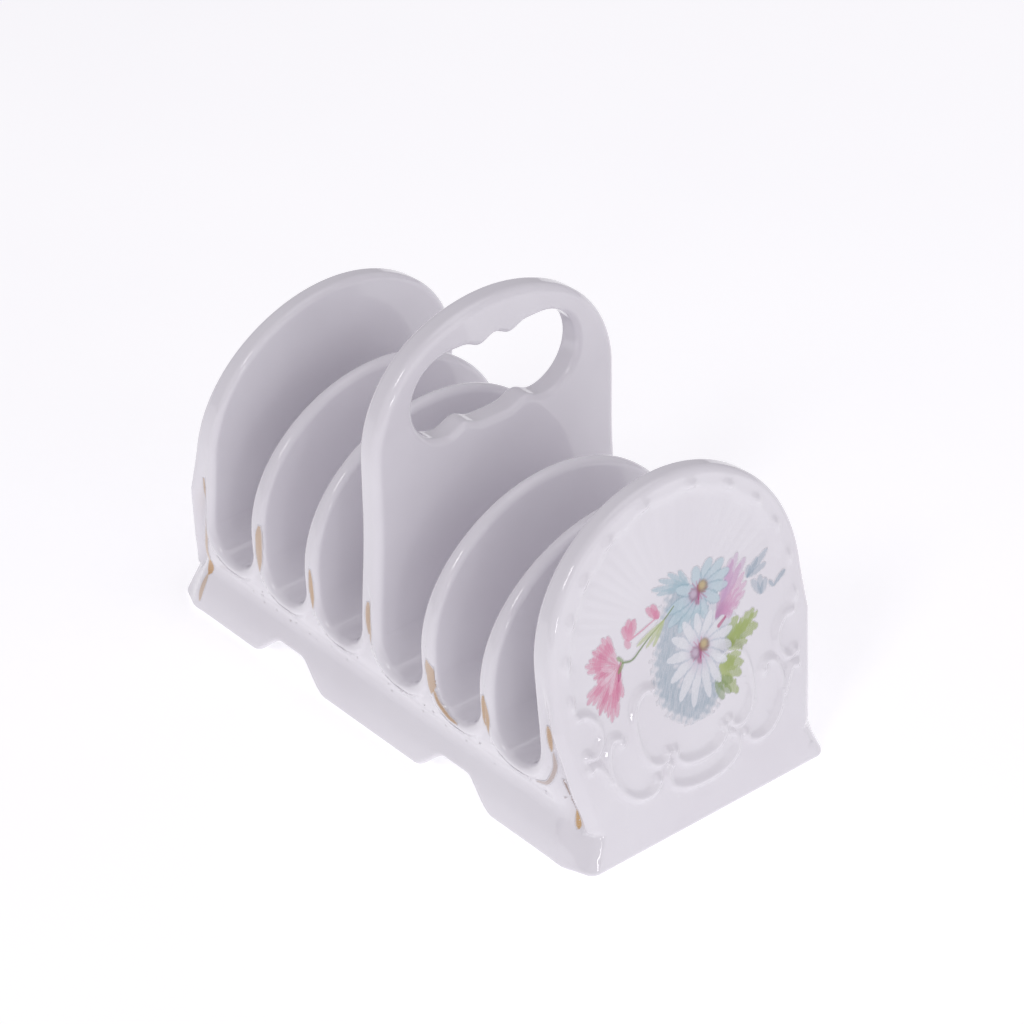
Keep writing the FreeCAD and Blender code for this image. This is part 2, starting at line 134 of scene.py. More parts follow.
# finger hole
HOLE_HEIGHT = 91.8
HOLE_RADIUS = 12.1
HOLE_REACH = 27.0
HOLE_ROUND = 1.9
LOWER_CUSP = 10.0
LOWER_CUSP_HEIGHT = 2.0
LOWER_CUSP_WIDTH = 3.4
UPPER_CUSP = 4.9
UPPER_CUSP_HEIGHT = 1.8
UPPER_CUSP_WIDTH = 3.0

# rolled beads round the slots
BEAD_WIDTH = 2.7
BEAD_PROUD = 0.8

# shell border on the end faces
SHELL_CENTRE = 50.5
SHELL_RADIUS = 36.2
SHELL_DEPTH = 0.7
SCALLOP = 1.4
LIP_HEIGHT = 0.25
FLUTE_HEIGHT = 0.11
RIPPLE_HEIGHT = 0.055
SHELL_BEAD_HEIGHT = 0.85
SHELL_BEAD_RADIUS = 1.2
FLUTE_CENTRE = 45.0
CUSP_ANGLES = (-12.0, 12.0, 32.5, 50.0, 66.0, 82.0, 98.0, 114.0)

# ---------------------------------------------------------------- field helpers


def smoothstep(low, high, value):
    """Zero below low, one above high and a smooth rise between them."""
    t = np.clip((value - low) / (high - low), 0.0, 1.0)
    return t * t * (3.0 - 2.0 * t)


def gaussian(value, width):
    """A bump of height one round zero."""
    return np.exp(-((value / width) ** 2))


def round_join(a, b, radius):
    """Inside both a and b, with the edge between them rounded."""
    outside = np.hypot(np.maximum(radius + a, 0.0), np.maximum(radius + b, 0.0))
    return np.minimum(-radius, np.maximum(a, b)) + outside


def ramp(value, softness):
    """Zero below zero and value above it, with a soft bend."""
    return 0.5 * (value + np.sqrt(value * value + softness * softness)) - 0.5 * softness * gaussian(
        value, 2.0 * softness
    )


def curve_points(points, steps=8):
    """A smooth curve through a few given points (Catmull-Rom)."""
    p = np.array(points, float)
    p = np.vstack([2 * p[0] - p[1], p, 2 * p[-1] - p[-2]])
    out = []
    for a, b, c, d in zip(p[:-3], p[1:-2], p[2:-1], p[3:]):
        bend = 2 * a - 5 * b + 4 * c - d
        twist = 3 * b - a - 3 * c + d
        for t in np.arange(steps) / steps:
            out.append(0.5 * (2 * b + (c - a) * t + bend * t**2 + twist * t**3))
    out.append(p[-2])
    return np.array(out)


def distance_to_curve(u, v, line):
    """Distance from each point to a polyline, and how far along it the nearest point lies, 0 to 1."""
    best = np.full(np.broadcast(u, v).shape, 1e3)
    along = np.zeros_like(best)
    count = len(line) - 1
    for i in range(count):
        (au, av), (bu, bv) = line[i], line[i + 1]
        du, dv = bu - au, bv - av
        t = np.clip(((u - au) * du + (v - av) * dv) / (du * du + dv * dv), 0.0, 1.0)
        d = np.hypot(u - au - t * du, v - av - t * dv)
        nearer = d < best
        best = np.where(nearer, d, best)
        along = np.where(nearer, (i + t) / count, along)
    return best, along


# ---------------------------------------------------------------- moulded relief on the end faces

# each scroll is drawn on the half with y above zero: (y, z) points in millimetres
SCROLLS = (
    ((11.3, 39.2), (14.2, 39.7), (17.0, 38.2), (18.7, 35.0), (19.1, 30.5), (18.5, 26.0), (16.7, 22.2),
     (13.8, 20.3), (11.3, 20.6), (10.4, 22.2)),
    ((8.2, 21.4), (8.1, 19.6), (6.0, 17.7), (3.0, 16.8), (0.0, 16.6), (-3.0, 16.8)),
    ((10.3, 18.8), (11.6, 16.8), (11.0, 14.0), (8.2, 12.0), (4.4, 10.9), (0.0, 10.6), (-4.4, 10.9)),
    ((23.7, 30.0), (24.5, 31.5), (26.4, 31.7), (28.0, 30.0), (28.8, 26.4), (28.2, 22.3), (26.2, 18.2),
     (22.8, 15.1), (19.2, 14.0), (16.2, 14.6), (14.7, 16.4)),
    ((34.3, 27.4), (32.6, 27.6), (30.6, 25.2), (28.9, 22.0)),
    ((35.3, 41.5), (32.6, 40.6), (30.0, 37.8), (29.3, 34.4), (30.6, 31.4), (32.7, 30.2), (34.6, 30.9)),
)
SCROLL_CURVES = [curve_points(points, 5) for points in SCROLLS]
SCROLL_BEADS = (
    (34.6, 30.9), (34.3, 27.4), (23.7, 30.0), (10.4, 22.0), (8.2, 21.4), (14.7, 16.4), (10.3, 18.8),
)
SCROLL_HEIGHT = 0.9
SCROLL_WIDTH = 1.05


def shell_relief(ay, z):
    """Scalloped border and radial flutes of the moulded shell."""
    above = np.maximum(z - SHELL_CENTRE, 0.0)
    reach = np.hypot(ay, above)
    turn = np.degrees(np.arctan2(ay, above + 1e-6))
    turn = turn + np.degrees(np.maximum(SHELL_CENTRE - z, 0.0) / SHELL_RADIUS)
    share = np.zeros_like(turn)
    for first, second in zip(CUSP_ANGLES[:-1], CUSP_ANGLES[1:]):
        between = (turn >= first) & (turn < second)
        share = np.where(between, (turn - first) / (second - first), share)
    bulge = np.sin(math.pi * share)
    inside = SHELL_RADIUS - SCALLOP * bulge - reach
    fade = smoothstep(24.0, 46.0, z)
    step = -SHELL_DEPTH * smoothstep(-1.8, 3.0, inside) * fade
    lip = LIP_HEIGHT * gaussian(inside + 1.2, 1.6) * smoothstep(36.0, 44.0, z)
    radial = np.hypot(ay, z - FLUTE_CENTRE)
    flutes = FLUTE_HEIGHT * bulge**2 + RIPPLE_HEIGHT * np.cos(6.0 * math.pi * share)
    flutes = flutes * smoothstep(17.0, 33.0, radial)
    flutes = flutes * smoothstep(0.8, 3.0, inside) * smoothstep(50.0, 64.0, z)
    beads = np.zeros_like(turn)
    for cusp in CUSP_ANGLES[1:]:
        arc = np.radians(turn - cusp) * SHELL_RADIUS
        beads = beads + gaussian(np.hypot(arc / 1.5, reach - SHELL_RADIUS - 0.4), SHELL_BEAD_RADIUS)
    return step + lip + flutes + SHELL_BEAD_HEIGHT * beads * smoothstep(38.0, 42.0, z)


def scroll_relief(ay, z):
    """Raised rounded scrolls below the flowers."""
    height = np.zeros(np.broadcast(ay, z).shape)
    for line in SCROLL_CURVES:
        distance, along = distance_to_curve(ay, z, line)
        thick = SCROLL_WIDTH * (1.0 + 0.15 * np.sin(math.pi * along))
        height = np.maximum(height, SCROLL_HEIGHT * gaussian(distance, thick))
    for u, v in SCROLL_BEADS:
        height = np.maximum(height, 1.15 * SCROLL_HEIGHT * gaussian(np.hypot(ay - u, z - v), 1.25))
    return height


def face_relief(ax, ay, z):
    """Relief of the end faces: once for a whole grid, and at loose points only near an end."""
    if ax.ndim > 1:
        return shell_relief(ay, z) + scroll_relief(ay, z)
    height = np.zeros(len(ax))
    ends = ax > SLOT_CENTRES[-1]
    height[ends] = shell_relief(ay[ends], z[ends]) + scroll_relief(ay[ends], z[ends])
    return height


# ---------------------------------------------------------------- the rack's own shape


def face_x(z):
    """How far out the end face stands at each height."""
    up = z - RIB_TOP
    lower = END_FOOT_X - FACE_SLOPE * up
    return lower + FACE_CURVE * np.maximum(up, 0.0) ** 2


def base_side(z):
    """Half width of the base at each height, with the crease that runs along it."""
    straight = HALF_WIDTH - SIDE_DRAW_IN * np.clip(z / SIDE_DRAW_HEIGHT, 0.0, 1.0)
    return straight - CREASE_DEPTH * gaussian(z - CREASE_HEIGHT, CREASE_SPREAD)


def arch_outline(ay, z, panel):
    """Signed distance to a panel's arch: straight sides, round shoulders and a wider crown."""
    spring = panel.height - panel.rise
    shoulder = panel.rise - panel.drop
    shoulder_y = panel.side - shoulder
    crown = (panel.side**2 + panel.rise**2 - 2 * panel.side * shoulder) / (2 * (panel.rise - shoulder))
    crown_z = panel.height - crown
    blend = smoothstep(RIB_TOP - 4.0, min(spring, RIB_TOP + 34.0), z)
    side = base_side(z) * (1.0 - blend) + panel.side * blend
    straight = ay - side
    rounded = np.hypot(ay - shoulder_y, z - spring) - shoulder
    top = np.hypot(ay, z - crown_z) - crown
    in_crown = ay * (spring - crown_z) < (z - crown_z) * shoulder_y
    return np.where(z < spring, straight, np.where(in_crown, top, rounded))


def comb(ax, z):
    """Signed distance to the floor and plates between the slots, in the lengthwise section."""
    below = np.minimum(z - RIB_TOP, 0.0)
    taper = DIVIDER_TAPER * smoothstep(RIB_TOP, INNER_DIVIDER.height, z)
    lean = ramp(z - RIB_TOP, 5.0) * math.tan(END_LEAN) / 2
    inner, middle, outer = SLOT_CENTRES
    slots = (
        (inner + taper / 2, taper / 2),
        (middle, taper),
        (outer - taper / 2 - lean, taper / 2 - lean),
    )
    return np.maximum.reduce([SLOT_HALF + wider - np.hypot(ax - centre, below) for centre, wider in slots])


def arch_share(ax):
    """Zero inside an arch of the foot, one on the feet, and between them on the arch's flanks."""
    return np.clip((np.abs(ax - ARCH_CENTRE) - ARCH_INNER) / (ARCH_OUTER - ARCH_INNER), 0.0, 1.0)


def foot_line(ax):
    """Height of the base's lower edge along its length: feet with ogee arches between them."""
    return ARCH_HEIGHT * (1.0 - smoothstep(0.0, 1.0, arch_share(ax)))


def foot_steepness(ax):
    """How steeply the lower edge climbs."""
    share = arch_share(ax)
    return 6.0 * ARCH_HEIGHT * share * (1.0 - share) / (ARCH_OUTER - ARCH_INNER)


def side_of(ax, ay, z):
    """Signed distance to the outline of whichever plate is nearest."""
    ends = arch_outline(ay, z, END)
    outer = arch_outline(ay, z, OUTER_DIVIDER)
    middle = arch_outline(ay, z, HANDLE)
    side = np.where(ax < SLOT_CENTRES[2], outer, ends)
    return np.where(ax < SLOT_CENTRES[0], middle, side)


def finger_hole(ay, z):
    """Signed distance to the handle's opening: a long round-ended hole with soft cusps above and below."""
    hole = np.hypot(np.maximum(ay - HOLE_REACH + HOLE_RADIUS, 0.0), z - HOLE_HEIGHT) - HOLE_RADIUS
    upper = smoothstep(-3.0, 3.0, z - HOLE_HEIGHT)
    hole = hole + LOWER_CUSP_HEIGHT * (1.0 - upper) * gaussian(ay - LOWER_CUSP, LOWER_CUSP_WIDTH)
    return hole + UPPER_CUSP_HEIGHT * upper * gaussian(ay - UPPER_CUSP, UPPER_CUSP_WIDTH)


def corner_narrowing(z, inward):
    """How much narrower the rack is at its end faces than along its sides."""
    above = np.maximum(z - KNOB_HEIGHT, 0.0)
    below = np.maximum(KNOB_HEIGHT - z, 0.0)
    face_side = KNOB_SIDE + FACE_TAPER * above + FOOT_FLARE * below
    near_end = np.minimum(ramp(CORNER_REACH - inward, 1.5) / (CORNER_REACH - 0.5), 1.0)
    return np.maximum(base_side(z) - face_side, 0.0) * near_end


def corner_ridge(z, inward):
    """The rolled ridge down the edge of each end face, and the groove beside it."""
    ridge = RIDGE_PROUD * gaussian(inward - RIDGE_INWARD, RIDGE_WIDTH)
    ridge = ridge - GROOVE_DEPTH * gaussian(inward - GROOVE_INWARD, GROOVE_WIDTH)
    ridge = ridge * smoothstep(KNOB_HEIGHT - 0.6, KNOB_HEIGHT + 1.6, z)
    return ridge * (1.0 - smoothstep(34.0, 56.0, z))


def web_share(depth, z, inward):
    """One on the sunk webs between the rolled beads of the slots, zero elsewhere."""
    web = smoothstep(BEAD_WIDTH - 0.5, BEAD_WIDTH + 1.3, depth)
    web = web * smoothstep(10.0, 17.0, z) * (1.0 - smoothstep(36.0, 46.0, z))
    return web * smoothstep(3.9, 5.6, inward)


def rack(x, y, z):
    """Signed distance, in millimetres, to the glazed surface of the whole rack."""
    ax, ay = np.abs(x), np.abs(y)
    plates = comb(ax, z)
    inward = face_x(z) - ax
    side = side_of(ax, ay, z) + BEAD_PROUD * web_share(-plates, z, inward)
    side = side + corner_narrowing(z, inward)
    side = side - corner_ridge(z, inward)
    rim = np.where(ax < SLOT_CENTRES[0], HANDLE_ROUND, RIM_ROUND)
    body = round_join(plates, side, rim)
    face = (face_relief(ax, ay, z) + inward) * -FACE_COSINE
    at_foot = 1.0 - smoothstep(0.0, KNOB_HEIGHT - 1.0, z)
    body = round_join(body, face, FACE_ROUND + (CORNER_ROUND - FACE_ROUND) * at_foot)
    foot = (foot_line(ax) - z) / np.hypot(1.0, foot_steepness(ax))
    body = round_join(body, foot, FOOT_ROUND)
    hollow = round_join(z - CEILING, ay - base_side(z) + WALL, HOLLOW_ROUND)
    hollow = round_join(hollow, WALL - inward, HOLLOW_ROUND)
    body = round_join(body, -hollow, FOOT_ROUND)
    holed = round_join(body, -finger_hole(ay, z), HOLE_ROUND)
    return np.where(ax < SLOT_CENTRES[0], holed, body)


def slope_of(points, step=0.01):
    """The field and its gradient at scattered points."""
    value = rack(*points.T)
    gradient = np.empty_like(points)
    for axis in range(3):
        beside = points.copy()
        beside[:, axis] += step
        gradient[:, axis] = (rack(*beside.T) - value) / step
    return value, gradient


def snap(points, rounds=2, direction=None):
    """Moves points onto the surface, along the field's slope or along one direction."""
    for _ in range(rounds):
        value, gradient = slope_of(points)
        if direction is None:
            size = np.maximum((gradient**2).sum(1), 0.2)
            points = points - gradient * np.clip(value / size, -0.6, 0.6)[:, None]
        else:
            along = gradient @ direction
            along = np.where(np.abs(along) < 0.2, 0.2, along)
            points = points - np.clip(value / along, -2.0, 2.0)[:, None] * direction
    return points


def unit(vectors):
    """Each row scaled to a length of one."""
    return vectors / np.maximum(np.linalg.norm(vectors, axis=1, keepdims=True), 1e-9)


# ---------------------------------------------------------------- meshing


def outward(polygons):
    """Index tuples of the polygons, turned to face out of the body."""
    return [tuple(int(i) for i in polygon[::-1]) for polygon in polygons]


def mesh_region(low, high, voxel, adaptivity):
    """Vertices and faces of the rack's surface inside one box of space."""
    counts = np.ceil((np.array(high) - low) / voxel).astype(int) + 1
    axes = [low[i] + voxel * np.arange(counts[i]) for i in range(3)]
    field = rack(axes[0][:, None, None], axes[1][None, :, None], axes[2][None, None, :])
    grid = openvdb.FloatGrid(10.0)
    grid.copyFromArray(np.ascontiguousarray(np.clip(field, -3.0, 3.0), dtype=np.float32))
    grid.transform = openvdb.createLinearTransform(voxel)
    points, triangles, quads = grid.convertToPolygons(isovalue=0.0, adaptivity=adaptivity)
    points = snap(points.astype(float) + low)
    return points, outward(quads) + outward(triangles)


def cut_and_cap(mesh, height, keep_above):
    """Cuts a mesh at one height, drops the other side and closes the openings."""
    work = bmesh.new()
    work.from_mesh(mesh)
    everything = work.verts[:] + work.edges[:] + work.faces[:]
    bmesh.ops.bisect_plane(
        work, geom=everything, plane_co=(0, 0, height), plane_no=(0, 0, 1), dist=1e-7,
        clear_outer=not keep_above, clear_inner=keep_above,
    )
    rims = [e for e in work.edges if e.is_boundary]
    caps = bmesh.ops.holes_fill(work, edges=rims, sides=0)["faces"]
    bmesh.ops.triangulate(work, faces=caps)
    bmesh.ops.recalc_face_normals(work, faces=work.faces[:])
    work.to_mesh(mesh)
    work.free()


def shade_from_field(mesh, height):
    """Gives each corner the field's own normal, and the flat cut its straight one."""
    count = len(mesh.vertices)
    points = np.empty(count * 3)
    mesh.vertices.foreach_get("co", points)
    points = points.reshape(-1, 3)
    normals = unit(slope_of(points / MM)[1])
    corners = np.empty(len(mesh.loops), int)
    mesh.loops.foreach_get("vertex_index", corners)
    shaded = normals[corners]
    on_cut = np.abs(points[:, 2] - height) < 2e-6
    for face in mesh.polygons:
        if abs(face.normal.z) > 0.99 and all(on_cut[i] for i in face.vertices):
            shaded[face.loop_start:face.loop_start + face.loop_total] = face.normal
    mesh.shade_smooth()
    mesh.normals_split_custom_set(shaded.tolist())


def add_piece(name, mesh, material):
    piece = bpy.data.objects.new(name, mesh)
    bpy.context.scene.collection.objects.link(piece)
    mesh.materials.append(material)
    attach(piece, "root")
    return piece


def build_body_piece(name, low, high, voxel, adaptivity, keep_above, material):
    """One closed piece of the body, cut at the height where the plates leave the base."""
    points, faces = mesh_region(np.array(low, float), np.array(high, float), voxel, adaptivity)
    mesh = bpy.data.meshes.new(name)
    mesh.from_pydata((points * MM).tolist(), [], faces)
    cut_and_cap(mesh, RIB_TOP * MM, keep_above)
    shade_from_field(mesh, RIB_TOP * MM)
    return add_piece(name, mesh, material)


# ---------------------------------------------------------------- materials


def linear(colour):
    """A colour given as 0 to 255 values, as linear light."""
    c = np.array(colour, float) / 255.0
    return np.where(c <= 0.04045, c / 12.92, ((c + 0.055) / 1.055) ** 2.4)


class Nodes:
    """A small helper for wiring a material's nodes."""

    def __init__(self, name):
        self.material = bpy.data.materials.new(name)
        self.material.use_nodes = True
        self.tree = self.material.node_tree
        self.shader = self.tree.nodes["Principled BSDF"]

    def add(self, kind, **values):
        node = self.tree.nodes.new(kind)
        for key, value in values.items():
            if key in node.inputs:
                node.inputs[key].default_value = value
            else:
                setattr(node, key, value)
        return node

    def link(self, source, target):
        self.tree.links.new(source, target)


def noise_between(nodes, scale, low, high, detail=3.0):
    """A noise that runs from one value or colour to another."""
    coordinates = nodes.add("ShaderNodeTexCoord")
    noise = nodes.add("ShaderNodeTexNoise", Scale=scale, Detail=detail)
    nodes.link(coordinates.outputs["Object"], noise.inputs["Vector"])
    blend = nodes.add("ShaderNodeValToRGB")
    blend.color_ramp.elements[0].position = 0.3
    blend.color_ramp.elements[1].position = 0.7
    blend.color_ramp.elements[0].color = (*low, 1.0)
    blend.color_ramp.elements[1].color = (*high, 1.0)
    nodes.link(noise.outputs["Fac"], blend.inputs["Fac"])
    return blend.outputs["Color"]


def make_glaze():
    """Cool white porcelain under a clear, slightly uneven glaze."""
    nodes = Nodes("porcelain_glaze")
    shader = nodes.shader
    colour = noise_between(nodes, 28.0, linear((236, 233, 239)), linear((242, 240, 245)))
    nodes.link(colour, shader.inputs["Base Color"])
    rough = noise_between(nodes, 90.0, (0.035,) * 3, (0.06,) * 3)
    nodes.link(rough, shader.inputs["Roughness"])
    shader.inputs["IOR"].default_value = 1.5
    shader.inputs["Coat Weight"].default_value = 0.5
    shader.inputs["Coat Roughness"].default_value = 0.02
    coordinates = nodes.add("ShaderNodeTexCoord")
    ripple = nodes.add("ShaderNodeTexNoise", Scale=140.0, Detail=2.0)
    nodes.link(coordinates.outputs["Object"], ripple.inputs["Vector"])
    bump = nodes.add("ShaderNodeBump", Strength=0.05, Distance=0.0004)
    nodes.link(ripple.outputs["Fac"], bump.inputs["Height"])
    nodes.link(bump.outputs["Normal"], shader.inputs["Normal"])
    return nodes.material


def make_print(name, roughness):
    """Pigment fired into the glaze, coloured by the painted attribute."""
    nodes = Nodes(name)
    shader = nodes.shader
    paint = nodes.add("ShaderNodeAttribute", attribute_name="paint")
    coordinates = nodes.add("ShaderNodeTexCoord")
    grain = nodes.add("ShaderNodeTexNoise", Scale=2600.0, Detail=2.0)
    nodes.link(coordinates.outputs["Object"], grain.inputs["Vector"])
    soften = nodes.add("ShaderNodeMapRange")
    soften.inputs["To Min"].default_value = 0.90
    soften.inputs["To Max"].default_value = 1.08
    nodes.link(grain.outputs["Fac"], soften.inputs["Value"])
    mix = nodes.add("ShaderNodeVectorMath", operation="SCALE")
    nodes.link(paint.outputs["Color"], mix.inputs[0])
    nodes.link(soften.outputs["Result"], mix.inputs["Scale"])
    nodes.link(mix.outputs["Vector"], shader.inputs["Base Color"])
    shader.inputs["Roughness"].default_value = roughness
    shader.inputs["Coat Weight"].default_value = 0.35
    shader.inputs["Coat Roughness"].default_value = 0.04
    return nodes.material


def make_floor_paper():
    nodes = Nodes("studio_paper")
    colour = noise_between(nodes, 6.0, linear((250, 250, 252)), linear((253, 253, 254)))
    nodes.link(colour, nodes.shader.inputs["Base Color"])
    nodes.shader.inputs["Roughness"].default_value = 0.9
    nodes.shader.inputs["Specular IOR Level"].default_value = 0.1
    nodes.shader.inputs["Emission Color"].default_value = (1.0, 1.0, 1.0, 1.0)
    nodes.shader.inputs["Emission Strength"].default_value = 0.42
    return nodes.material


# ---------------------------------------------------------------- painted decoration


class Canvas:
    """Colour and cover painted on a flat grid, before it is laid on the porcelain."""

    def __init__(self, low, high, step):
        self.u = np.arange(low[0], high[0], step)[:, None] + np.zeros((1, int((high[1] - low[1]) / step)))
        self.v = low[1] + step * np.arange(self.u.shape[1])[None, :] + np.zeros((self.u.shape[0], 1))
        self.colour = np.ones(self.u.shape + (3,)) * linear((236, 234, 239))
        self.cover = np.zeros(self.u.shape)
        self.random = np.random.default_rng(7)
        grain = self.random.random(self.cover.shape)
        self.strokes = sum(np.roll(grain, (k // 2, k), (0, 1)) for k in range(8)) / 8
        self.strokes = np.clip(0.5 + 3.0 * (self.strokes - 0.5), 0.0, 1.0)

    def lay(self, mask, colour):
        """Lays colour over what is there, as thick as the mask says."""
        mask = np.clip(mask, 0.0, 1.0)
        self.colour += (linear(colour) - self.colour) * mask[..., None]
        self.cover = np.maximum(self.cover, mask)

    def petal(self, root, tip, width, colour, strength=1.0, blunt=0.62, veins=0.25, inner=None, ragged=0.0):
        """A petal or leaf from root to tip, with fine veins along it and a paler or darker root."""
        du, dv = tip[0] - root[0], tip[1] - root[1]
        length = math.hypot(du, dv)
        along = ((self.u - root[0]) * du + (self.v - root[1]) * dv) / length**2
        across = ((self.v - root[1]) * du - (self.u - root[0]) * dv) / length
        profile = np.clip(along, 0.0, 1.0)
        half = width / 2 * np.sqrt(np.clip(4 * profile ** (blunt * 2) * (1 - profile), 0.0, None))
        teeth = 0.5 + 0.5 * np.sin(along * length * 2.6 + np.sign(across) * 1.2)
        half = half * (0.86 + 0.24 * self.strokes) * (1.0 - ragged * teeth * along)
        edge = smoothstep(-0.18, 0.14, half - np.abs(across)) * (along > 0) * (along < 1)
        lines = 0.5 + 0.5 * np.sin(across * 13.0 + 2.2 * np.sin(along * 4.0))
        shade = edge * strength * (1.0 - veins * lines) * (0.8 + 0.2 * self.strokes)
        self.lay(shade, colour)
        if inner is not None:
            self.lay(edge * 0.7 * strength * smoothstep(0.55, 0.0, along), inner)

    def line(self, points, width, colour, strength=1.0):
        distance, along = distance_to_curve(self.u, self.v, curve_points(points, 6))
        thick = width / 2 * (1.0 - 0.4 * along)
        self.lay(strength * smoothstep(0.16, -0.1, distance - thick), colour)

    def blob(self, centre, radius, colour, strength=1.0, soft=0.5):
        distance = np.hypot(self.u - centre[0], self.v - centre[1])
        self.lay(strength * smoothstep(radius + soft, radius - soft, distance), colour)

    def wash(self, points, width, colour, strength):
        """A pale hatched shadow along a line."""
        distance, _ = distance_to_curve(self.u, self.v, curve_points(points, 6))
        ragged = 1.1 * np.sin(self.v * 2.3) * np.sin(self.u * 1.7 + 1.0) + 1.6 * (self.strokes - 0.5)
        hatch = 0.55 + 0.45 * self.strokes
        self.lay(strength * hatch * smoothstep(width, width * 0.45, distance + ragged), colour)


PINK = (224, 140, 172)
DEEP_PINK = (205, 72, 130)
PALE_PINK = (238, 190, 208)
MAGENTA = (184, 24, 112)
PETAL_WHITE = (240, 241, 245)
PETAL_SHADE = (188, 198, 212)
SKY = (166, 196, 208)
PALE_SKY = (206, 222, 230)
SLATE = (146, 168, 186)
LEAF = (166, 184, 104)
LEAF_PALE = (190, 202, 142)
LEAF_DARK = (134, 158, 92)
LILAC = (204, 166, 204)

# the daisies' eye, as blobs from its centre: across, up, radius, colour, strength, softness
EYE = (
    (-1.5, -0.3, 1.7, (150, 112, 140), 0.7, 0.5),
    (-1.7, -0.1, 1.0, (212, 196, 214), 0.8, 0.6),
    (1.5, 0.8, 1.7, (144, 118, 84), 0.75, 0.5),
    (1.4, 1.1, 1.0, (206, 188, 140), 0.85, 0.6),
    (-0.8, -2.6, 0.7, (170, 60, 120), 0.6, 0.4),
)


def fan(canvas, root, tips, width, colour, **options):
    for tip in tips:
        canvas.petal(root, tip, width, colour, **options)


def ruffle(canvas, root, tip, width, colour):
    """A broad petal whose end is cut into three pointed teeth."""
    reach = np.array(tip) - root
    across = np.array((-reach[1], reach[0])) / np.linalg.norm(reach) * width
    short = root + 0.76 * reach
    canvas.petal(root, tuple(short), width, colour, strength=0.75, blunt=1.1, veins=0.55)
    for side in (-0.42, 0.0, 0.42):
        point = short + across * side + reach * (0.24 - 0.5 * side * side)
        start = root + 0.4 * reach + across * side * 0.3
        canvas.petal(tuple(start), tuple(point), 1.9, colour, strength=0.85, blunt=0.8, veins=0.5)


def daisy(canvas, centre, tips, width, colour, shade, root):
    """A ring of petals, each with a shaded outline, round an ochre and magenta eye."""
    for tip in tips:
        canvas.petal(centre, tip, width * 1.25, shade, strength=0.7, veins=0.35)
        canvas.petal(centre, tip, width * 0.92, colour, strength=0.92, veins=0.22, inner=root)
    for angle in range(0, 360, 24):
        reach = 3.0 + 1.1 * math.sin(angle * 1.7)
        u = centre[0] + reach * math.cos(math.radians(angle))
        v = centre[1] + reach * math.sin(math.radians(angle))
        canvas.line((centre, (u, v)), 0.25, (196, 76, 140), 0.6)
    canvas.line(((centre[0] + 0.2, centre[1] + 1.2), (centre[0] - 0.3, centre[1] - 1.9)), 1.1, MAGENTA, 0.7)
    for du, dv, radius, tint, strength, soft in EYE:
        canvas.blob((centre[0] + du, centre[1] + dv), radius, tint, strength, soft)


